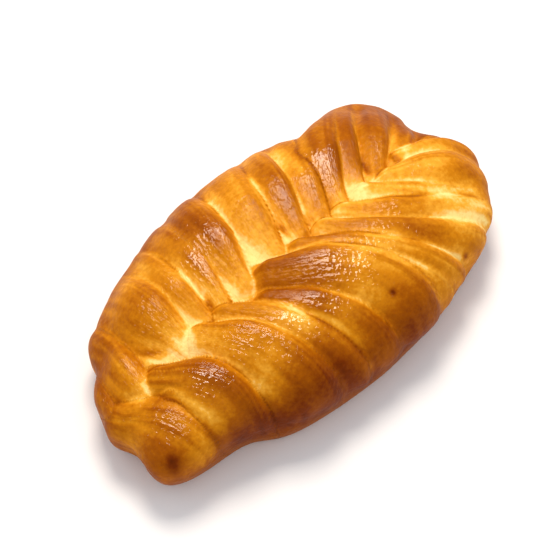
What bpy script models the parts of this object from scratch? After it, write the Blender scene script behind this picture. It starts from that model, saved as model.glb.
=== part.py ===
"""A blueberry bun: soft milk bread round a filling, folded over by turns like a plait and baked brown.

Nothing inside shows, so the bun is one solid. It is shaped in the baker's order. First comes a plain
domed loaf with a flat base. Then the folds of dough are laid over it: each is a soft ridge that
starts at the seam along the middle and runs out and forward to the rim. Folds that share a strip of
dough melt into each other, and strips meet in deeper creases.

Lengths in the tables are millimetres, and the model is in metres. +X points to the head, where the
plait starts, +Y is the far side and +Z is up. The origin is at the middle of the base.
"""

from collections import namedtuple

import bmesh
import bpy
import numpy as np

MM = 0.001

# The plain loaf: a dome over a belly line, drawn in below it to the flat base.
HALF_LENGTH = 84.5
HALF_WIDTH = 46.5
DOME_TOP = 39.0
BELLY = 15.0
ROUNDNESS = 2.24  # 2 makes the outline an ellipse, and more makes it squarer
HEAD_SPREAD = 0.05  # share by which the head end is wider than the middle
TUCK = 0.09  # share by which the side draws in between the belly line and the base
SIDE_SHARE = 0.5  # share of the lower half of the ball that makes the side

# Where the rim swells or is pinched: bearing and spread in degrees, reach in millimetres. The bearing
# is 0 at the head and 90 on the far side.
Swell = namedtuple("Swell", "bearing reach spread")
RIM = (
    Swell(12, -6, 12),  # the notch between the first two strips
    Swell(45, 5, 13),  # the far head lobe
    Swell(58, -7, 8),  # the pinch behind it
    Swell(100, 2, 14),
    Swell(155, -3, 9),
    Swell(-178, 2, 7),  # the last far fold
    Swell(-149, 8, 12),  # the tail, drawn to the near side
    Swell(-133, -6, 10),  # the pinch before it
    Swell(-90, 1, 12),
    Swell(-45, 1, 12),  # the near head lobe
)
REACH_AT = 65.0  # mean radius of the rim, which turns a reach into a share

# The folds fan out from the seam: one that starts at x millimetres leaves over the rim at FAN less x
# degrees of the outline, so each millimetre along the seam turns the next fold by one degree.
FAN = {"far": 75, "near": 65}
SEAM = {"far": 0, "near": -4}  # where the tips lie across: the near strips come out on top
ACROSS = {"far": 1, "near": -1}

# Start is where a fold starts along the seam. Bow bends its line towards the head, width is half of its
# breadth, and lift is its height. Below is how far it starts to the near side of the seam, and turn is
# how many degrees it leaves the fan, towards the tail.
Fold = namedtuple("Fold", "strip start bow width lift below turn", defaults=(0, 0))
FOLDS = (
    Fold("far 1", 25, -5, 12, 5.5),
    Fold("far 1", 35, -3, 8, 4.5, turn=5),
    Fold("far 1", 45, 0, 9, 4.5, turn=5),
    Fold("far 1", 55, 3, 7, 1.5, turn=5),
    Fold("far 2", 16, 0, 9, 3.0, turn=5),
    Fold("far 2", 6, 0, 9, 4.5, turn=5),
    Fold("far 3", -6, -2, 11, 4.5),
    Fold("far 4", -22, 0, 13, 6.0),
    Fold("far 4", -32, 2, 8, 4.0),
    Fold("far 5", -40, 0, 8, 3.0),
    Fold("far 5", -50, 0, 15, 5.0),
    Fold("far 6", -72, 0, 11, 5.0, below=5, turn=-5),
    Fold("far 7", -82, 0, 7, 1.5),
    Fold("near 1", 57, 6, 9, 2.5, below=-5, turn=10),
    Fold("near 1", 47, 9, 13, 4.0, turn=15),
    Fold("near 1", 36, -2, 10, 2.0, turn=10),
    Fold("near 2", 24, -5, 9, 2.5),
    Fold("near 2", 14, -5, 9, 4.0),
    Fold("near 3", 1, 2, 10, 4.5),
    Fold("near 3", 10, 0, 11, 4.0, below=14, turn=15),
    Fold("near 4", -12, 9, 15, 6.0),
    Fold("near 4", -20, 4, 11, 4.5, below=7, turn=5),
    Fold("near 5", -34, 4, 10, 3.5),
    Fold("near 5", -44, 4, 14, 5.5),
    Fold("near 6", -64, 6, 14, 5.0),
    Fold("near 6", -66, 3, 9, 3.5, below=7),
    Fold("near 7", -81, 1, 20, 2.5),
)

# The line of a fold: its points over the dome and down the side, and how far it draws in at the foot.
STEPS_OVER = 28
STEPS_DOWN = 4
ROOT_TUCK = 0.1

# How broad a fold is along its way, which runs from 0 at the tip to 1 at the foot of the side.
TIP_WIDTH = 0.6  # share of its width that it has at the tip
FULL_WIDTH_AT = 0.45
ROOT_WIDER = 0.1  # share that it gains towards the foot
WIDENS_FROM = 0.4
HEADWARD = 0.52  # share of its width that a fold has on its steep side
TAILWARD = 1.35
FAR_OFF = 2.5  # widths from the line at which its height stops falling

# How a fold's height runs along its way and across it.
TIP_LIFT = {"near": 0.35, "far": -0.15}  # a near tip lies on top, and a far one dives under it
TIP_LENGTH = {"near": 0.22, "far": 0.30}
CREASE_FLOOR = -3.0
LIP = 0.3  # how far a fold leans towards the head, where it laps over the one before
LIP_REACH = 1.2  # widths from the line at which the lean stops growing
DROP = 0.95  # share of its height that a fold loses over its width
FALL = 2.2  # power of the fall from the crest: 2 is round, and more is flatter with a sharper edge
FALL_LEAN = 0.5  # how much that power grows on the steep side

# The folds flatten out as they run down a side, between these two heights.
FLATTENS = {"near": (36.0, 4.0), "far": (36.0, 21.0)}
FLAT_LIFT = 1.0  # what is left of a fold there
FLAT_CREASE = 2.0  # and of the creases beside it

# How softly folds meet, in millimetres of height: inside a strip, and between strips.
SOFT_IN_STRIP = 0.8
SOFT_IN_STRIP_FLAT = 4.0
SOFT_BETWEEN = {"near": 0.6, "far": 1.3}
SOFT_BETWEEN_FLAT = 1.0
SEAM_SPREAD = 8.0  # breadth of the seam's neighbourhood, where near turns into far

# The base: the folds fade out just above it, and points this near to it lie on it.
BASE_EDGE = 0.5
BASE_FADE = 13.0
BASE_SNAP = 0.05

BALL_CUTS = 7
LOWER_SHARE = 0.35  # how far the ball's mesh is moved up, to leave more of it on the top
TRIANGLES = 11500

CRUST_COLOR = (0.60, 0.24, 0.035, 1.0)
CRUST_ROUGHNESS = 0.35


def ease(x):
    """0 to 1 along a smooth step."""
    x = np.clip(x, 0, 1)
    return x * x * (3 - 2 * x)


def mix(a, b, share):
    return a + (b - a) * share


def rim_reach(bearing):
    """The factor on the outline at each bearing, in degrees."""
    factor = np.ones_like(bearing)
    for swell in RIM:
        off = (bearing - swell.bearing + 180) % 360 - 180
        factor += swell.reach / REACH_AT * np.exp(-((off / swell.spread) ** 2))
    return factor


def loaf_points(ball):
    """Points of a unit ball, moved to the plain loaf."""
    level = np.hypot(ball[:, 0], ball[:, 1])
    cos, sin = (ball[:, :2] / np.maximum(level, 1e-9)[:, None]).T
    cos = np.where(level > 1e-9, cos, 1.0)
    depth = np.maximum(0, -ball[:, 2])
    turn = np.pi / 2 * np.minimum(1, depth / SIDE_SHARE)
    side = 1 - TUCK * (1 - np.cos(turn))
    base = np.sqrt(np.minimum(1, (1 - np.minimum(1, depth)) / (1 - SIDE_SHARE)))
    upper = ball[:, 2] >= 0
    out = np.where(upper, np.minimum(1, level), side * base)
    radius = (np.abs(cos) ** ROUNDNESS + np.abs(sin) ** ROUNDNESS) ** (-1 / ROUNDNESS)
    reach = rim_reach(np.degrees(np.arctan2(sin, cos)))
    radius *= 1 + (reach - 1) * out**3
    x = HALF_LENGTH * radius * cos * out
    y = HALF_WIDTH * radius * sin * out * (1 + HEAD_SPREAD * x / HALF_LENGTH)
    z = np.where(upper, mix(BELLY, DOME_TOP, ball[:, 2]), BELLY * (1 - np.sin(turn)))
    return np.column_stack([x, y, z])


def share_out(x, y):
    """How far out a place in plan is, from 0 at the middle to 1 at the rim."""
    across = y / (HALF_WIDTH * (1 + HEAD_SPREAD * x / HALF_LENGTH))
    return (np.abs(x / HALF_LENGTH) ** ROUNDNESS + np.abs(across) ** ROUNDNESS) ** (1 / ROUNDNESS)


def fold_line(fold):
    """The fold's line over the loaf: from its tip to the rim, and down the side to the base."""
    side = fold.strip.split()[0]
    tip = np.array((fold.start, SEAM[side] - fold.below), float)
    angle = np.radians(FAN[side] - fold.start + fold.turn)
    root = np.array((HALF_LENGTH * np.cos(angle), ACROSS[side] * HALF_WIDTH * np.sin(angle)))
    root /= share_out(*root)
    share = np.sin(np.linspace(0, np.pi / 2, STEPS_OVER))[:, None]
    plan = mix(tip, root, share) + np.sin(np.pi * share) * (fold.bow, 0)
    dome = np.sqrt(np.maximum(0, 1 - share_out(*plan.T) ** 2))
    over = np.column_stack([plan, mix(BELLY, DOME_TOP, dome)])
    down = np.linspace(0, 1, STEPS_DOWN + 1)[1:, None]
    under = np.column_stack([root * (1 - ROOT_TUCK * down**2), BELLY * (1 - down)])
    return np.vstack([over, under])


def nearest_on_line(points, normals, line):
    """For each point: the share along the line, the distance, and how much of it is to the left."""
    legs = line[1:] - line[:-1]
    lengths = np.linalg.norm(legs, axis=1)
    starts = np.concatenate([[0], np.cumsum(lengths)])
    nearest = np.full(len(points), np.inf)
    share = np.zeros(len(points))
    left = np.zeros(len(points))
    for start, leg, length, before in zip(line, legs, lengths, starts):
        away = points - start
        along = np.clip(away @ leg / length**2, 0, 1)
        away = away - along[:, None] * leg
        distance = np.linalg.norm(away, axis=1)
        closer = distance < nearest
        nearest[closer] = distance[closer]
        share[closer] = (before + along[closer] * length) / starts[-1]
        sideways = np.cross(leg / length, normals[closer])
        left[closer] = -np.einsum("ij,ij->i", sideways, away[closer])
    return share, nearest, np.clip(left / np.maximum(nearest, 1e-6), -1, 1)


def fold_height(points, normals, flat, fold):
    """The height that one fold gives each point."""
    side = fold.strip.split()[0]
    share, distance, left = nearest_on_line(points, normals, fold_line(fold))
    headward = left if side == "near" else -left
    width = fold.width * mix(TIP_WIDTH, 1.0, np.sin(np.pi / 2 * np.minimum(1, share / FULL_WIDTH_AT)))
    width *= 1 + ROOT_WIDER * ease((share - WIDENS_FROM) / (1 - WIDENS_FROM))
    width *= mix(TAILWARD, HEADWARD, 0.5 + 0.5 * headward)
    across = np.minimum(distance / width, FAR_OFF)
    rise = mix(TIP_LIFT[side], 1.0, ease(share / TIP_LENGTH[side]))
    top = mix(fold.lift * rise, FLAT_LIFT, flat)
    drop = mix(DROP * fold.lift, FLAT_CREASE, flat)
    lean = LIP * (1 - flat) * np.clip(across * headward, -LIP_REACH, LIP_REACH)
    return top - drop * across ** (FALL + FALL_LEAN * headward) + lean


def soft_top(heights, softness):
    """The highest of several heights, rounded where they meet."""
    weights = np.exp((heights - heights.max(axis=0)) / softness)
    return (heights * weights).sum(axis=0) / weights.sum(axis=0)


def relief(points, normals):
    """How far the folds raise or sink each point of the plain loaf."""
    far = ease(0.5 + points[:, 1] / SEAM_SPREAD)
    upper, lower = mix(np.array(FLATTENS["near"])[:, None], np.array(FLATTENS["far"])[:, None], far)
    flat = ease((upper - points[:, 2]) / (upper - lower))
    inside = mix(SOFT_IN_STRIP, SOFT_IN_STRIP_FLAT, flat)
    between = mix(mix(SOFT_BETWEEN["near"], SOFT_BETWEEN["far"], far), SOFT_BETWEEN_FLAT, flat)
    tops = [CREASE_FLOOR * (1 - flat)]
    for strip in sorted({fold.strip for fold in FOLDS}):
        folds = [fold for fold in FOLDS if fold.strip == strip]
        heights = np.array([fold_height(points, normals, flat, fold) for fold in folds])
        tops.append(soft_top(heights, inside))
    return soft_top(np.array(tops), between)


def read_vectors(mesh, name):
    values = np.empty(len(mesh.vertices) * 3, np.float32)
    mesh.vertices.foreach_get(name, values)
    return values.reshape(-1, 3).astype(float)


def write_points(mesh, points):
    mesh.vertices.foreach_set("co", points.astype(np.float32).ravel())
    mesh.update()


def bun_mesh(name):
    """A ball's mesh, moved to the plain loaf and then raised and sunk by the folds."""
    shape = bmesh.new()
    bmesh.ops.create_icosphere(shape, subdivisions=BALL_CUTS, radius=1)
    mesh = bpy.data.meshes.new(name)
    shape.to_mesh(mesh)
    shape.free()
    ball = read_vectors(mesh, "co") + (0, 0, LOWER_SHARE)
    ball /= np.linalg.norm(ball, axis=1)[:, None]
    write_points(mesh, loaf_points(ball))
    points, normals = read_vectors(mesh, "co"), read_vectors(mesh, "normal")
    height = relief(points, normals) * ease((points[:, 2] - BASE_EDGE) / BASE_FADE)
    points += normals * height[:, None]
    points[:, 2] = np.maximum(points[:, 2], 0)
    points[:, :2] -= (points[:, :2].min(axis=0) + points[:, :2].max(axis=0)) / 2
    write_points(mesh, points * MM)
    return mesh


def thinned(bun):
    """The bun's mesh with fewer faces, the most where the folds need them, and its base dead flat."""
    faces = len(bun.data.polygons)
    bun.modifiers.new("Thin out", "DECIMATE").ratio = TRIANGLES / faces
    graph = bpy.context.evaluated_depsgraph_get()
    mesh = bpy.data.meshes.new_from_object(bun.evaluated_get(graph))
    bun.modifiers.clear()
    points = read_vectors(mesh, "co")
    points[points[:, 2] < BASE_SNAP * MM, 2] = 0
    write_points(mesh, points)
    mesh.shade_smooth()
    return mesh


def crust_material():
    crust = bpy.data.materials.new("Egg-washed crust")
    crust.use_nodes = True
    shader = crust.node_tree.nodes["Principled BSDF"]
    shader.inputs["Base Color"].default_value = CRUST_COLOR
    shader.inputs["Roughness"].default_value = CRUST_ROUGHNESS
    shader.inputs["Metallic"].default_value = 0
    crust.diffuse_color = CRUST_COLOR
    return crust


def main():
    for old in list(bpy.data.objects):
        bpy.data.objects.remove(old)
    collection = bpy.data.collections.new("Blueberry bun")
    bpy.context.scene.collection.children.link(collection)
    bun = bpy.data.objects.new("bun", bun_mesh("bun"))
    collection.objects.link(bun)
    full = bun.data
    bun.data = thinned(bun)
    bpy.data.meshes.remove(full)
    bun.data.name = "bun"
    bun.data.materials.append(crust_material())


main()
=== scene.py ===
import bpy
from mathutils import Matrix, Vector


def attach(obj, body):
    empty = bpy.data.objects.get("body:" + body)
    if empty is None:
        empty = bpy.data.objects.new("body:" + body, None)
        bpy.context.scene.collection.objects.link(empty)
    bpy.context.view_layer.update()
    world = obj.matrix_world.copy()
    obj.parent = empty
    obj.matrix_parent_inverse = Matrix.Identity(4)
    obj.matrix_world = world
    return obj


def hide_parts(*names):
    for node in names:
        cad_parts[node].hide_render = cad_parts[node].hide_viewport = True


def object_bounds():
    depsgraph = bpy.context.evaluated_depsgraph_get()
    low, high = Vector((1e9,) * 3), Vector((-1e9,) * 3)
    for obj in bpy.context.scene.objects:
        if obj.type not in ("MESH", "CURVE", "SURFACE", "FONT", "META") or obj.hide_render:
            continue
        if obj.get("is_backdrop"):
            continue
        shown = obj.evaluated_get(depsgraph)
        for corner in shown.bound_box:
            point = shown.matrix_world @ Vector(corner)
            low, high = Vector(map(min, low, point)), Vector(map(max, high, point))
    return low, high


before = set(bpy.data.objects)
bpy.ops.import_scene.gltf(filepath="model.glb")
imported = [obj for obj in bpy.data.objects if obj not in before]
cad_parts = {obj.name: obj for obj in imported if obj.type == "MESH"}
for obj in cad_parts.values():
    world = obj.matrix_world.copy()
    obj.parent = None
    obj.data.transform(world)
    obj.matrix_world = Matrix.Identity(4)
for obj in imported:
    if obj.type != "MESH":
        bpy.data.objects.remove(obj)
cad_low, cad_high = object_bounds()
print("solid model, mm:", [round(1000 * side, 1) for side in cad_high - cad_low])

# %% [markdown]
# # A blueberry bun
#
# The bun is one lump of soft milk bread round a filling. The baker cuts flaps of dough on both sides,
# folds them over the filling by turns, and brushes the top with egg. The oven then browns what stands
# up, and leaves the creases pale.
#
# This scene makes the crust in five steps: the plain loaf, the folds, the small lumps and wrinkles, the
# browning and the egg. The first two give the same shape as the solid model, but on a much finer grid.
# The bun lies along x with its head at the positive end, and the far strips are on the side of positive y.
# Lengths in the tables are millimetres, and the scene is in metres.

# %% Tools
import itertools
import math
from collections import namedtuple

import bmesh
import bpy
import numpy as np
from mathutils import Vector

MM = 0.001


def ease(x):
    """0 to 1 along a smooth step."""
    x = np.clip(x, 0, 1)
    return x * x * (3 - 2 * x)


def mix(a, b, share):
    """a where share is 0, b where it is 1, and between them otherwise."""
    return a + (b - a) * share


print("halfway along a smooth step:", ease(0.5))

# %% [markdown]
# ## The plain loaf
#
# Before the folds are seen, the bun is a low dome on a flat base, a little wider at the head and drawn
# to one side at the tail. It could be drawn with a subdivided box or with curves. Here a unit ball is
# moved point by point instead, because each place then has a known height and direction, which the
# folds need. The ball starts as a cube cut into a fine grid, which has no poles to pinch the dough.

# %% The loaf's sizes
HALF_LENGTH = 84.5
HALF_WIDTH = 46.5
DOME_TOP = 39.0
BELLY = 15.0  # height of the widest line
ROUNDNESS = 2.24  # 2 makes the outline an ellipse, and more makes it squarer
HEAD_SPREAD = 0.05
TUCK = 0.09  # how far the side draws in under the belly
SIDE_SHARE = 0.5

# Where the rim swells or is pinched: bearing and spread in degrees, reach in millimetres.
Swell = namedtuple("Swell", "bearing reach spread")
RIM = (
    Swell(12, -6, 12),  # the notch between the first two strips
    Swell(45, 5, 13),  # the far head lobe
    Swell(58, -7, 8),  # the pinch behind it
    Swell(100, 2, 14),
    Swell(155, -3, 9),
    Swell(-178, 2, 7),  # the last far fold
    Swell(-149, 8, 12),  # the tail, drawn to the near side
    Swell(-133, -6, 10),  # the pinch before it
    Swell(-90, 1, 12),
    Swell(-45, 1, 12),  # the near head lobe
)
REACH_AT = 65.0
print("plain loaf:", 2 * HALF_LENGTH, "x", 2 * HALF_WIDTH, "x", DOME_TOP, "mm")


# %% The ball becomes a loaf
def rim_reach(bearing):
    """The factor on the outline at each bearing, in degrees."""
    factor = np.ones_like(bearing)
    for swell in RIM:
        off = (bearing - swell.bearing + 180) % 360 - 180
        factor += swell.reach / REACH_AT * np.exp(-((off / swell.spread) ** 2))
    return factor


def loaf_points(ball):
    """Points of a unit ball, moved to the plain loaf."""
    level = np.hypot(ball[:, 0], ball[:, 1])
    cos, sin = (ball[:, :2] / np.maximum(level, 1e-9)[:, None]).T
    cos = np.where(level > 1e-9, cos, 1.0)
    depth = np.maximum(0, -ball[:, 2])
    turn = np.pi / 2 * np.minimum(1, depth / SIDE_SHARE)
    side = 1 - TUCK * (1 - np.cos(turn))
    base = np.sqrt(np.minimum(1, (1 - np.minimum(1, depth)) / (1 - SIDE_SHARE)))
    upper = ball[:, 2] >= 0
    out = np.where(upper, np.minimum(1, level), side * base)
    radius = (np.abs(cos) ** ROUNDNESS + np.abs(sin) ** ROUNDNESS) ** (-1 / ROUNDNESS)
    reach = rim_reach(np.degrees(np.arctan2(sin, cos)))
    radius *= 1 + (reach - 1) * out**3
    x = HALF_LENGTH * radius * cos * out
    y = HALF_WIDTH * radius * sin * out * (1 + HEAD_SPREAD * x / HALF_LENGTH)
    z = np.where(upper, mix(BELLY, DOME_TOP, ball[:, 2]), BELLY * (1 - np.sin(turn)))
    return np.column_stack([x, y, z])


# %% Reading and writing a mesh's points at once
def read_vectors(mesh, name):
    values = np.empty(len(mesh.vertices) * 3, np.float32)
    mesh.vertices.foreach_get(name, values)
    return values.reshape(-1, 3).astype(float)


def write_points(mesh, points):
    mesh.vertices.foreach_set("co", points.astype(np.float32).ravel())
    mesh.update()


# %% The fine grid
GRID = 128  # cuts along a cube's edge, which puts a point about every 0.6 mm of crust
LOWER_SHARE = 0.35  # the ball is moved up by this, to leave more of its grid on the top

shape = bmesh.new()
bmesh.ops.create_cube(shape, size=2)
bmesh.ops.subdivide_edges(shape, edges=shape.edges, cuts=GRID - 1, use_grid_fill=True)
mesh = bpy.data.meshes.new("baked_bun")
shape.to_mesh(mesh)
shape.free()
cube = read_vectors(mesh, "co")
ball = np.tan(cube * np.pi / 4)  # evens out the grid's squares
ball /= np.linalg.norm(ball, axis=1)[:, None]
ball += (0, 0, LOWER_SHARE)
ball /= np.linalg.norm(ball, axis=1)[:, None]
write_points(mesh, loaf_points(ball))
print("grid:", len(mesh.vertices), "points,", 2 * len(mesh.polygons), "triangles")

# %% [markdown]
# ## The folds
#
# A fold is a soft ridge of dough that starts at the seam on top, runs out and forward to the rim, and
# goes down the side. Its side towards the head is steep, because it laps over the strip before it, and
# its other side is a long slope. Sculpting by hand would give this, but a table of folds says it more
# plainly: where each one starts along the seam, how far it bows, how broad it is and how high. The folds
# fan out, so the start also gives the place where a fold leaves over the rim, and the table only says
# how far it turns from there. Ridges of one strip melt together, and strips meet in a deeper crease.

# %% The table of folds
# The fan's rule: a fold that starts a millimetre further along the seam leaves over the rim one degree on.
FAN = {"far": 75, "near": 65}  # the degree of the outline for a fold from the middle of the seam
SEAM = {"far": 0, "near": -4}  # where the tips lie across: the near strips come out on top
ACROSS = {"far": 1, "near": -1}

# start: along the seam. bow: the bend towards the head. width: half of the breadth. lift: the height.
# below: how far below the seam a fold starts. turn: degrees out of the fan, towards the tail.
Fold = namedtuple("Fold", "strip start bow width lift below turn", defaults=(0, 0))
FOLDS = (
    Fold("far 1", 25, -5, 12, 5.5),
    Fold("far 1", 35, -3, 8, 4.5, turn=5),
    Fold("far 1", 45, 0, 9, 4.5, turn=5),
    Fold("far 1", 55, 3, 7, 1.5, turn=5),
    Fold("far 2", 16, 0, 9, 3.0, turn=5),
    Fold("far 2", 6, 0, 9, 4.5, turn=5),
    Fold("far 3", -6, -2, 11, 4.5),
    Fold("far 4", -22, 0, 13, 6.0),
    Fold("far 4", -32, 2, 8, 4.0),
    Fold("far 5", -40, 0, 8, 3.0),
    Fold("far 5", -50, 0, 15, 5.0),
    Fold("far 6", -72, 0, 11, 5.0, below=5, turn=-5),
    Fold("far 7", -82, 0, 7, 1.5),
    Fold("near 1", 57, 6, 9, 2.5, below=-5, turn=10),
    Fold("near 1", 47, 9, 13, 4.0, turn=15),
    Fold("near 1", 36, -2, 10, 2.0, turn=10),
    Fold("near 2", 24, -5, 9, 2.5),
    Fold("near 2", 14, -5, 9, 4.0),
    Fold("near 3", 1, 2, 10, 4.5),
    Fold("near 3", 10, 0, 11, 4.0, below=14, turn=15),
    Fold("near 4", -12, 9, 15, 6.0),
    Fold("near 4", -20, 4, 11, 4.5, below=7, turn=5),
    Fold("near 5", -34, 4, 10, 3.5),
    Fold("near 5", -44, 4, 14, 5.5),
    Fold("near 6", -64, 6, 14, 5.0),
    Fold("near 6", -66, 3, 9, 3.5, below=7),
    Fold("near 7", -81, 1, 20, 2.5),
)
print(len(FOLDS), "folds in", len({fold.strip for fold in FOLDS}), "strips")


# %% A fold's line over the loaf
STEPS_OVER = 28  # points of the line over the dome
STEPS_DOWN = 4  # and down the side
ROOT_TUCK = 0.1  # how far it draws in at the foot


def share_out(x, y):
    """How far out a place in plan is, from 0 at the middle to 1 at the rim."""
    across = y / (HALF_WIDTH * (1 + HEAD_SPREAD * x / HALF_LENGTH))
    return (np.abs(x / HALF_LENGTH) ** ROUNDNESS + np.abs(across) ** ROUNDNESS) ** (1 / ROUNDNESS)


def fold_line(fold):
    """The fold's line over the loaf: from its tip to the rim, and down the side to the base."""
    side = fold.strip.split()[0]
    tip = np.array((fold.start, SEAM[side] - fold.below), float)
    angle = np.radians(FAN[side] - fold.start + fold.turn)
    root = np.array((HALF_LENGTH * np.cos(angle), ACROSS[side] * HALF_WIDTH * np.sin(angle)))
    root /= share_out(*root)
    share = np.sin(np.linspace(0, np.pi / 2, STEPS_OVER))[:, None]
    plan = mix(tip, root, share) + np.sin(np.pi * share) * (fold.bow, 0)
    dome = np.sqrt(np.maximum(0, 1 - share_out(*plan.T) ** 2))
    over = np.column_stack([plan, mix(BELLY, DOME_TOP, dome)])
    down = np.linspace(0, 1, STEPS_DOWN + 1)[1:, None]
    under = np.column_stack([root * (1 - ROOT_TUCK * down**2), BELLY * (1 - down)])
    return np.vstack([over, under])


def nearest_on_line(points, normals, line):
    """For each point: the share along the line, the distance, and how much of it is to the left."""
    legs = line[1:] - line[:-1]
    lengths = np.linalg.norm(legs, axis=1)
    starts = np.concatenate([[0], np.cumsum(lengths)])
    nearest = np.full(len(points), np.inf)
    share = np.zeros(len(points))
    left = np.zeros(len(points))
    for start, leg, length, before in zip(line, legs, lengths, starts):
        away = points - start
        along = np.clip(away @ leg / length**2, 0, 1)
        away = away - along[:, None] * leg
        distance = np.linalg.norm(away, axis=1)
        closer = distance < nearest
        nearest[closer] = distance[closer]
        share[closer] = (before + along[closer] * length) / starts[-1]
        sideways = np.cross(leg / length, normals[closer])
        left[closer] = -np.einsum("ij,ij->i", sideways, away[closer])
    return share, nearest, np.clip(left / np.maximum(nearest, 1e-6), -1, 1)


# %% Where a point lies on a fold
TIP_WIDTH = 0.6  # share of its width that a fold has at the tip
FULL_WIDTH_AT = 0.45
ROOT_WIDER = 0.1
WIDENS_FROM = 0.4
HEADWARD = 0.52  # share of its width that a fold has on its steep side
TAILWARD = 1.35
FAR_OFF = 2.5  # widths from the line at which its height stops falling

# share: of the way from the tip to the foot. across: in widths. headward: 1 on the steep side, -1 behind.
Place = namedtuple("Place", "share across headward")


def place_on_fold(points, normals, fold):
    side = fold.strip.split()[0]
    share, distance, left = nearest_on_line(points, normals, fold_line(fold))
    headward = left if side == "near" else -left
    width = fold.width * mix(TIP_WIDTH, 1.0, np.sin(np.pi / 2 * np.minimum(1, share / FULL_WIDTH_AT)))
    width *= 1 + ROOT_WIDER * ease((share - WIDENS_FROM) / (1 - WIDENS_FROM))
    width *= mix(TAILWARD, HEADWARD, 0.5 + 0.5 * headward)
    return Place(share, np.minimum(distance / width, FAR_OFF), headward)


# %% A fold's height
TIP_LIFT = {"near": 0.35, "far": -0.15}  # a near tip lies on top, and a far one dives under it
TIP_LENGTH = {"near": 0.22, "far": 0.30}
LIP = 0.3  # how far a fold leans towards the head
LIP_REACH = 1.2
DROP = 0.95  # share of its height that a fold loses over its width
FALL = 2.2  # power of the fall from the crest
FALL_LEAN = 0.5  # how much that power grows on the steep side
FLAT_LIFT = 1.0  # what is left of a fold low on the side
FLAT_CREASE = 2.0


def fold_height(place, flat, fold):
    """The height that one fold gives each point."""
    side = fold.strip.split()[0]
    rise = mix(TIP_LIFT[side], 1.0, ease(place.share / TIP_LENGTH[side]))
    top = mix(fold.lift * rise, FLAT_LIFT, flat)
    drop = mix(DROP * fold.lift, FLAT_CREASE, flat)
    lean = LIP * (1 - flat) * np.clip(place.across * place.headward, -LIP_REACH, LIP_REACH)
    return top - drop * place.across ** (FALL + FALL_LEAN * place.headward) + lean


# %% How folds meet
CREASE_FLOOR = -3.0
FLATTENS = {"near": (36.0, 4.0), "far": (36.0, 21.0)}  # heights between which folds flatten out
SOFT_IN_STRIP = 0.8
SOFT_IN_STRIP_FLAT = 4.0
SOFT_BETWEEN = {"near": 0.6, "far": 1.3}
SOFT_BETWEEN_FLAT = 1.0
SEAM_SPREAD = 8.0
BASE_EDGE = 0.5
BASE_FADE = 13.0


def soft_top(heights, softness):
    """The highest of several heights, rounded where they meet."""
    weights = np.exp((heights - heights.max(axis=0)) / softness)
    return (heights * weights).sum(axis=0) / weights.sum(axis=0)


points, normals = read_vectors(mesh, "co"), read_vectors(mesh, "normal")
far = ease(0.5 + points[:, 1] / SEAM_SPREAD)
upper, lower = mix(np.array(FLATTENS["near"])[:, None], np.array(FLATTENS["far"])[:, None], far)
flat = ease((upper - points[:, 2]) / (upper - lower))
inside = mix(SOFT_IN_STRIP, SOFT_IN_STRIP_FLAT, flat)
between = mix(mix(SOFT_BETWEEN["near"], SOFT_BETWEEN["far"], far), SOFT_BETWEEN_FLAT, flat)

places = [place_on_fold(points, normals, fold) for fold in FOLDS]
heights = np.array([fold_height(place, flat, fold) for place, fold in zip(places, FOLDS)])
strips = sorted({fold.strip for fold in FOLDS})
members = [[i for i, fold in enumerate(FOLDS) if fold.strip == strip] for strip in strips]
tops = np.array([CREASE_FLOOR * (1 - flat)] + [soft_top(heights[rows], inside) for rows in members])
relief = soft_top(tops, between)
print("folds stand from", round(relief.min(), 1), "to", round(relief.max(), 1), "mm")

# %% [markdown]
# ## Lumps and wrinkles
#
# Dough is never smooth. Gas under the skin lifts soft lumps, and the flaps were pulled, so they carry
# fine ridges along their length. A noise texture in a Displace modifier could make the lumps, but the
# ridges follow each fold, so both are worked out here, from random numbers on a grid that are eased
# from one to the next. Their seeds are fixed, so that the bun comes out the same each time.


# %% Smooth noise
NOISE_VALUES = 4099
SCATTER = (7919, 104729, 1299709)  # primes that send neighbouring cells to far-off values


def soft_noise(places, seed):
    """Random values from -1 to 1 at whole coordinates, eased between them."""
    cell = np.floor(places).astype(np.int64)
    share = ease(places - cell)
    values = np.random.default_rng(seed).uniform(-1, 1, NOISE_VALUES)
    total = np.zeros(len(places))
    for corner in itertools.product((0, 1), repeat=3):
        spot = (cell + corner) @ SCATTER % NOISE_VALUES
        weight = np.where(corner, share, 1 - share).prod(axis=1)
        total += values[spot] * weight
    return total


# %% How the surface of each fold runs
FOLD_WAY = 90.0  # about how long a fold is

# For each point: how far sideways on the fold that shows there, how far along it, and which fold it is.
top_fold = np.argmax(heights, axis=0)
strand = np.zeros((len(points), 3))
for row, (fold, place) in enumerate(zip(FOLDS, places)):
    sideways = place.across * place.headward * fold.width
    on_fold = np.column_stack([sideways, place.share * FOLD_WAY, np.full(len(points), row)])
    strand = np.where((top_fold == row)[:, None], on_fold, strand)
print("points on the largest fold:", np.bincount(top_fold).max())

# %% The small relief
LUMP_SIZE, LUMP_HEIGHT = 13.0, 0.55
DIMPLE_SIZE, DIMPLE_HEIGHT = 4.5, 0.16
PULL_WIDTH, PULL_LENGTH, PULL_HEIGHT = 1.6, 22.0, 0.16

lumps = LUMP_HEIGHT * soft_noise(points / LUMP_SIZE, 3)
dimples = DIMPLE_HEIGHT * soft_noise(points / DIMPLE_SIZE, 5)
pulled = soft_noise(strand / (PULL_WIDTH, PULL_LENGTH, 1), 11)
small = lumps + dimples + PULL_HEIGHT * pulled * (1 - flat)
print("small relief:", round(small.min(), 2), "to", round(small.max(), 2), "mm")

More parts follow.
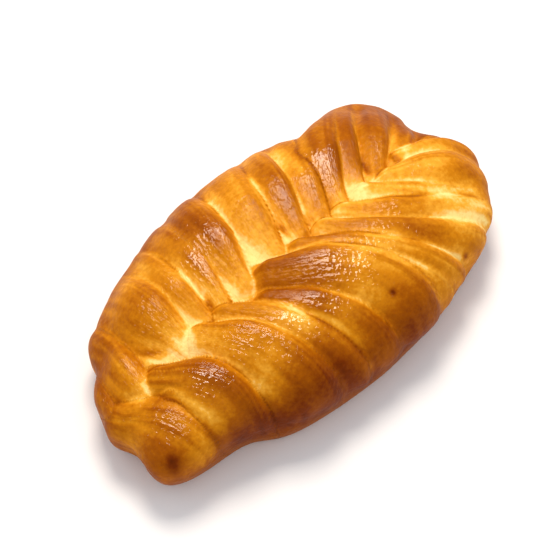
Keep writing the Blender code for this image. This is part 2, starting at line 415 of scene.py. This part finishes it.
# %% The bun's mesh
rise = (relief + small) * ease((points[:, 2] - BASE_EDGE) / BASE_FADE)
crust = points + normals * rise[:, None]
crust[:, 2] = np.maximum(crust[:, 2], 0)
low, high = crust.min(axis=0), crust.max(axis=0)
crust = np.array(cad_low) + (crust - low) / (high - low) * np.array(cad_high - cad_low)
write_points(mesh, crust)
mesh.shade_smooth()
bun = bpy.data.objects.new("baked_bun", mesh)
bpy.context.scene.collection.objects.link(bun)
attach(bun, "root")
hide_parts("bun")
print("bun, mm:", np.round((crust.max(axis=0) - crust.min(axis=0)) / MM, 1))

# %% [markdown]
# ## Browning
#
# The oven browns what stands up to it. A fold goes brown along its crest, and stays golden on its long
# slope. The creases opened as the dough rose, so they are pale yellow. Where one strip laps over the
# next, a thin dark line is painted shade for the shadow in the gap under the lap. The browning and that
# painted shade are kept on the mesh as one number for each point, from 0, pale, to 1, dark, which the
# material turns into colour. A texture painted by hand would do it too, but this way the colour always
# follows the folds.

# %% How brown each strip is
# One row for each strip: its browning at the tip, on the middle of its top and where it goes over the
# rim. Near 4, 5 and 6 took the most heat, where they go over the rim.
BROWN_AT = (0.05, 0.35, 0.60)
BROWN = {
    "far 1": (0.55, 0.60, 0.50),
    "far 2": (0.55, 0.50, 0.40),
    "far 3": (0.50, 0.45, 0.40),
    "far 4": (0.45, 0.60, 0.50),
    "far 5": (0.45, 0.45, 0.40),
    "far 6": (0.40, 0.50, 0.40),
    "far 7": (0.40, 0.50, 0.50),
    "near 1": (0.35, 0.45, 0.50),
    "near 2": (0.45, 0.65, 0.40),
    "near 3": (0.65, 0.50, 0.50),
    "near 4": (0.70, 0.45, 0.80),
    "near 5": (0.50, 0.45, 0.85),
    "near 6": (0.60, 0.60, 0.85),
    "near 7": (0.50, 0.60, 0.50),
}
STEEP_SIDE = 0.08  # how much browner a fold's steep side is than its crest
LONG_SLOPE = 0.28  # how much paler its long slope gets, down towards the fold behind
BLEND = 0.8  # height over which the browning of two folds runs together

weights = np.exp((heights - heights.max(axis=0)) / BLEND)
weights /= weights.sum(axis=0)
brown_and_shade = np.zeros(len(points))
for weight, place, fold in zip(weights, places, FOLDS):
    side = np.clip(place.across * place.headward, -1, 1)
    turned = np.where(side > 0, STEEP_SIDE * side, -LONG_SLOPE * side**2) * (1 - flat)
    brown_and_shade += weight * (np.interp(place.share, BROWN_AT, BROWN[fold.strip]) + turned)
print("browning of the folds: mean", round(brown_and_shade.mean(), 2))

# %% The creases, and painted shade under the laps
CREASE_PALE, CREASE_REACH = 0.4, 5.0  # how much paler, and how high over the crease that mostly ends
INNER_PALE, INNER_REACH = 0.2, 1.5  # the same where folds of one strip meet, which is fainter and narrower
LAP_SHADE, LAP_SHADE_REACH = 0.6, 0.9  # the same for the painted shade of the gap under a lap, which is darker
LAP_SHADE_BREAKS = 12.0  # about how far apart the breaks in that painted shade are
LAP_SHADE_WHOLE, LAP_SHADE_UNEVEN = 0.6, 1.2  # how much of it is left on average, and how much that changes


def above_next(surfaces):
    """How far the highest surface at each point stands above the second highest."""
    second, first = np.sort(surfaces, axis=0)[-2:]
    return first - second


above = above_next(tops)
lap_shade_broken = ease(LAP_SHADE_WHOLE + LAP_SHADE_UNEVEN * soft_noise(points / LAP_SHADE_BREAKS, 23))
brown_and_shade -= CREASE_PALE * np.exp(-above / CREASE_REACH) * (1 - flat)
brown_and_shade -= INNER_PALE * np.exp(-above_next(heights) / INNER_REACH) * (1 - flat)
# painted shade: a dark line in the gap where one strip laps over the next
brown_and_shade += LAP_SHADE * np.exp(-above / LAP_SHADE_REACH) * lap_shade_broken * (1 - flat)
print("with the creases: mean", round(brown_and_shade.mean(), 2))

# %% Patches, blisters and the grain of the browning
PATCH_SIZE, PATCH_MORE = 10.0, 0.10  # soft patches that the oven caught more or less
PULLED_MORE = 0.09  # ridges of the pulled dough are browner
LOW_ON_SIDE, SIDE_BROWN = 18.0, 0.5  # below this height the side comes to be baked evenly

# Where a bubble of sugar burnt: x, y and reach in millimetres, and how much browner.
Blister = namedtuple("Blister", "x y reach more")
BLISTERS = (
    Blister(-80, -25, 2, 0.4),
    Blister(10, -35, 1, 0.4),
    Blister(45, -40, 1, 0.4),
)
for blister in BLISTERS:
    away = np.hypot(points[:, 0] - blister.x, points[:, 1] - blister.y)
    brown_and_shade += blister.more * np.exp(-((away / blister.reach) ** 2))
brown_and_shade += PATCH_MORE * soft_noise(points / PATCH_SIZE, 21) + PULLED_MORE * pulled
low_down = ease((LOW_ON_SIDE - points[:, 2]) / LOW_ON_SIDE)
brown_and_shade = np.clip(mix(brown_and_shade, SIDE_BROWN, low_down), 0, 1)
print("browning: mean", round(brown_and_shade.mean(), 2))
print("darkest:", round(brown_and_shade.max(), 2), "and palest:", round(brown_and_shade.min(), 2))

# %% [markdown]
# ## The egg
#
# Beaten egg was brushed on by hand, so it lies along the crests and hardly at all in the creases and on
# the sides. Wet egg levels itself before it dries, so a thick dab catches the light over a wider place
# than bare dough would. It is kept as a second number for each point. One even gloss over the whole bun
# would be simpler, but it would look like varnish.

# %% Where the brush left egg
# For each strip: how much egg it got, and how far along it the brush was set down.
Egg = namedtuple("Egg", "much at")
EGG = {
    "far 1": Egg(0.8, 0.25),
    "far 2": Egg(0.5, 0.25),
    "far 3": Egg(0.2, 0.25),
    "far 4": Egg(1.0, 0.30),
    "far 5": Egg(0.3, 0.30),
    "far 6": Egg(0.7, 0.25),
    "far 7": Egg(0.5, 0.25),
    "near 1": Egg(0.3, 0.25),
    "near 2": Egg(0.8, 0.35),
    "near 3": Egg(0.7, 0.35),
    "near 4": Egg(1.0, 0.30),
    "near 5": Egg(0.9, 0.30),
    "near 6": Egg(1.0, 0.30),
    "near 7": Egg(0.9, 0.25),
}
DAB_LONG, DAB_BROAD = 0.16, 0.55  # a dab's reach along the fold, and across it in widths
BRUSH_WIDTH, BRUSH_LENGTH = 5.0, 14.0  # of the strokes inside a dab
BRUSH_FULL, BRUSH_UNEVEN = 0.7, 0.9  # how full a stroke is on average, and how much that changes
THIN_EGG = 0.03  # what is left between the dabs
STEEP, LEVEL = 0.45, 0.8  # upward part of the surface's direction where egg starts to hold, and holds well

upward = read_vectors(mesh, "normal")[:, 2]
strokes = ease(BRUSH_FULL + BRUSH_UNEVEN * soft_noise(strand / (BRUSH_WIDTH, BRUSH_LENGTH, 1), 31))
egg = np.full(len(points), THIN_EGG)
for weight, place, fold in zip(weights, places, FOLDS):
    along = (place.share - EGG[fold.strip].at) / DAB_LONG
    egg += weight * EGG[fold.strip].much * np.exp(-(along**2) - (place.across / DAB_BROAD) ** 2) * strokes
egg = np.clip(egg, 0, 1) * ease((upward - STEEP) / (LEVEL - STEEP))
print("egg: mean", round(egg.mean(), 2))

# %% Layers that the material reads
# the browning number also holds the painted shade in the gaps under the laps
for name, values in (("browning_and_shade", brown_and_shade), ("egg", egg)):
    layer = mesh.attributes.new(name, "FLOAT", "POINT")
    layer.data.foreach_set("value", values.astype(np.float32))
layer = mesh.attributes.new("strand", "FLOAT_VECTOR", "POINT")
layer.data.foreach_set("vector", strand.astype(np.float32).ravel())
print("layers:", [layer.name for layer in mesh.attributes if layer.name in ("browning_and_shade", "egg", "strand")])

# %% [markdown]
# ## Egg-washed baked crust
#
# The real finish is browned dough under a skin of dried egg. To the eye it is dull and warm in the
# creases, and on the crests it breaks the light into a net of small bright marks. The colour comes from
# the browning, with its painted shade in the gaps under the laps, through a ramp, from pale yellow dough
# to dark brown sugar. The egg is the shader's clear coat over a dull base, since one gloss for both would
# make the creases shine too.


# %% Colours and nodes
def linear(code):
    """An sRGB hex colour as linear red, green, blue and alpha."""
    parts = [int(code[i : i + 2], 16) / 255 for i in (1, 3, 5)]
    return [c / 12.92 if c <= 0.04045 else ((c + 0.055) / 1.055) ** 2.4 for c in parts] + [1.0]


def add(tree, kind, inputs=(), **settings):
    """A node with its settings, and its inputs given as values or as other nodes' outputs."""
    node = tree.nodes.new("ShaderNode" + kind)
    for name, value in settings.items():
        setattr(node, name, value)
    for name, value in dict(inputs).items():
        if isinstance(value, bpy.types.NodeSocket):
            tree.links.new(value, node.inputs[name])
        else:
            node.inputs[name].default_value = value
    return node


# %% The crust's colour
BAKE_COLOURS = (
    (0.00, "#FFE08E"),  # pale dough
    (0.15, "#F0AA34"),  # gold
    (0.30, "#CE800C"),  # amber
    (0.50, "#A35600"),  # brown
    (0.75, "#762F00"),  # dark brown
    (1.00, "#501C00"),  # burnt sugar
)
MOTTLE_MM = 1.8  # the crust's real grain is finer, and is drawn coarser here so that it shows
MOTTLE_SHIFT = 0.06  # how far the mottling moves the browning
NOISE_LOW, NOISE_HIGH = 0.3, 0.7  # where nearly all values of a noise texture lie

material = bpy.data.materials.new("Egg-washed baked crust")
material.use_nodes = True
tree = material.node_tree
shader = tree.nodes["Principled BSDF"]
where = add(tree, "TexCoord").outputs["Object"]
# browning, with the painted shade of the laps in it
browning_and_shade = add(tree, "Attribute", attribute_name="browning_and_shade", attribute_type="GEOMETRY").outputs["Fac"]
mottling = {"Scale": 1 / (MOTTLE_MM * MM), "Detail": 3.0, "Roughness": 0.6}
mottle = add(tree, "TexNoise", {"Vector": where, **mottling})
spread = {"From Min": NOISE_LOW, "From Max": NOISE_HIGH, "To Min": -MOTTLE_SHIFT, "To Max": MOTTLE_SHIFT}
shift = add(tree, "MapRange", {"Value": mottle.outputs["Fac"], **spread})
shade = add(tree, "Math", {0: browning_and_shade, 1: shift.outputs["Result"]}, operation="ADD", use_clamp=True)
ramp = add(tree, "ValToRGB", {"Fac": shade.outputs[0]})
stops = ramp.color_ramp.elements
while len(stops) < len(BAKE_COLOURS):
    stops.new(0.5)
for stop, (position, code) in zip(stops, BAKE_COLOURS):
    stop.position = position
    stop.color = linear(code)
tree.links.new(ramp.outputs["Color"], shader.inputs["Base Color"])
mesh.materials.append(material)
print("colours of baking:", len(stops))

# %% The dough's dull skin
PALE_ROUGH, BROWN_ROUGH = 0.6, 0.4  # browned dough is a little smoother
BROWNED = 0.6  # the browning from which it is as smooth as it gets
STREAK_MM = (1.0, 6.0)  # width and length of the brush's streaks: its hairs are finer, and wouldn't show
CRACKLE_MM = 1.5  # small wrinkles of the skin, also drawn a little coarser than they are
OTHER_FOLD = 7.0  # keeps the streaks of neighbouring folds apart
SKIN_RELIEF, SKIN_STRENGTH = 0.25 * MM, 0.7
CRUST_IOR = 1.45  # starch and sugar
CRUST_SPECULAR = 0.05  # flour and tiny pores scatter nearly all of the bare crust's reflection

by_browning = {"From Min": 0.0, "From Max": BROWNED, "To Min": PALE_ROUGH, "To Max": BROWN_ROUGH}
dull = add(tree, "MapRange", {"Value": browning_and_shade, **by_browning})
tree.links.new(dull.outputs["Result"], shader.inputs["Roughness"])
on_strand = add(tree, "Attribute", attribute_name="strand", attribute_type="GEOMETRY").outputs["Vector"]
per_streak = (1 / STREAK_MM[0], 1 / STREAK_MM[1], OTHER_FOLD)
drawn = add(tree, "VectorMath", {0: on_strand, 1: per_streak}, operation="MULTIPLY").outputs[0]
plain = {"Detail": 1.0, "Roughness": 0.5}
streaks = add(tree, "TexNoise", {"Vector": drawn, "Scale": 1.0, **plain})
crackle = add(tree, "TexNoise", {"Vector": where, "Scale": 1 / (CRACKLE_MM * MM), **plain})
fine = add(tree, "Math", {0: streaks.outputs["Fac"], 1: crackle.outputs["Fac"]}, operation="ADD").outputs[0]
skin = add(tree, "Bump", {"Height": fine, "Strength": SKIN_STRENGTH, "Distance": SKIN_RELIEF})
tree.links.new(skin.outputs["Normal"], shader.inputs["Normal"])
shader.inputs["IOR"].default_value = CRUST_IOR
shader.inputs["Specular IOR Level"].default_value = CRUST_SPECULAR
print("skin: roughness", BROWN_ROUGH, "to", PALE_ROUGH)

# %% The dried egg
LEVELS = 1.5  # how far the egg lies level, instead of along the dough
EGG_RELIEF, EGG_STRENGTH = 0.22 * MM, 1.0
EGG_ROUGH = 0.10  # it dries to a smooth film
EGG_IOR = 1.5  # dried protein

laid = add(tree, "Attribute", attribute_name="egg", attribute_type="GEOMETRY").outputs["Fac"]
tree.links.new(laid, shader.inputs["Coat Weight"])
outward = add(tree, "NewGeometry").outputs["Normal"]
raised = add(tree, "VectorMath", {0: outward, 1: (0, 0, LEVELS)}, operation="ADD").outputs[0]
level = add(tree, "VectorMath", {0: raised}, operation="NORMALIZE").outputs[0]
film = {"Height": fine, "Strength": EGG_STRENGTH, "Distance": EGG_RELIEF, "Normal": level}
glaze = add(tree, "Bump", film)
tree.links.new(glaze.outputs["Normal"], shader.inputs["Coat Normal"])
shader.inputs["Coat Roughness"].default_value = EGG_ROUGH
shader.inputs["Coat IOR"].default_value = EGG_IOR
print("material:", material.name, "with", len(tree.nodes), "nodes")

# %% [markdown]
# ## Floor, light and camera
#
# The bun lies on white matt paper in a white room. Uncoated paper scatters light evenly, so it shows the
# bun's shadow and no reflection. A soft lamp hangs nearly overhead, a little to the far side and towards
# the head, so it marks the crests and leaves a short soft shadow. The room lights the shadow but is kept
# out of reflections, as black flags beside a table would do, so that the browned dough keeps its colour
# instead of a grey veil. The camera looks down from the near side, over the tail.

# %% The floor
FLOOR_SIZE = 3.0
PAPER, PAPER_ROUGH = "#F8F9FD", 0.9

bpy.ops.mesh.primitive_plane_add(size=FLOOR_SIZE)
floor = bpy.context.object
floor.name = "floor"
paper = bpy.data.materials.new("White matt paper")
paper.use_nodes = True
sheet = paper.node_tree.nodes["Principled BSDF"]
sheet.inputs["Base Color"].default_value = linear(PAPER)
sheet.inputs["Roughness"].default_value = PAPER_ROUGH
floor.data.materials.append(paper)
floor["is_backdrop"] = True
print("floor:", paper.name, FLOOR_SIZE, "m wide")

# %% The lamp
LAMP_AT = Vector((0.19, 0.25, 0.68))
LAMP_SIDE, LAMP_WATTS, LAMP_COLOUR = 0.27, 4.2, "#FFF2E0"


def put(name, data, place, towards):
    """A lamp or camera at a place, turned to look along a direction."""
    thing = bpy.data.objects.new(name, data)
    thing.location = place
    thing.rotation_mode = "QUATERNION"
    thing.rotation_quaternion = towards.to_track_quat("-Z", "Y")
    bpy.context.scene.collection.objects.link(thing)
    return thing


softbox = bpy.data.lights.new("softbox", "AREA")
softbox.size = LAMP_SIDE
softbox.energy = LAMP_WATTS
softbox.color = linear(LAMP_COLOUR)[:3]
put("softbox", softbox, LAMP_AT, -LAMP_AT)
print("lamp:", LAMP_WATTS, "W, and", round(LAMP_AT.length, 2), "m away")

# %% The room
ROOM, ROOM_STRENGTH = "#FFFFFF", 0.74

world = bpy.data.worlds.new("studio")
bpy.context.scene.world = world
world.use_nodes = True
walls = world.node_tree.nodes["Background"]
walls.inputs["Color"].default_value = linear(ROOM)
walls.inputs["Strength"].default_value = ROOM_STRENGTH
world.cycles_visibility.glossy = False
print("room:", ROOM, "at", ROOM_STRENGTH)

# %% The camera
BEARING, LOOKS_DOWN = math.radians(-45.36), math.radians(57.07)
LOOKS_AT = Vector((-1.96, 4.74, 15)) * MM
AWAY = 0.6
LENS_MM, SENSOR_MM = 111.9, 36  # a long lens, as for a picture of food

lens = bpy.data.cameras.new("camera")
lens.sensor_width = SENSOR_MM
lens.lens = LENS_MM
outwards = math.cos(LOOKS_DOWN)
back = Vector((math.sin(BEARING) * outwards, -math.cos(BEARING) * outwards, math.sin(LOOKS_DOWN)))
camera = put("camera", lens, LOOKS_AT + back * AWAY, -back)
bpy.context.scene.camera = camera
bpy.context.scene.view_settings.view_transform = "Standard"
print("camera at, mm:", [round(side / MM) for side in camera.location])

# %% The sizes, and the end
low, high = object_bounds()
print("dressed bun, mm:", [round(side / MM, 1) for side in high - low])
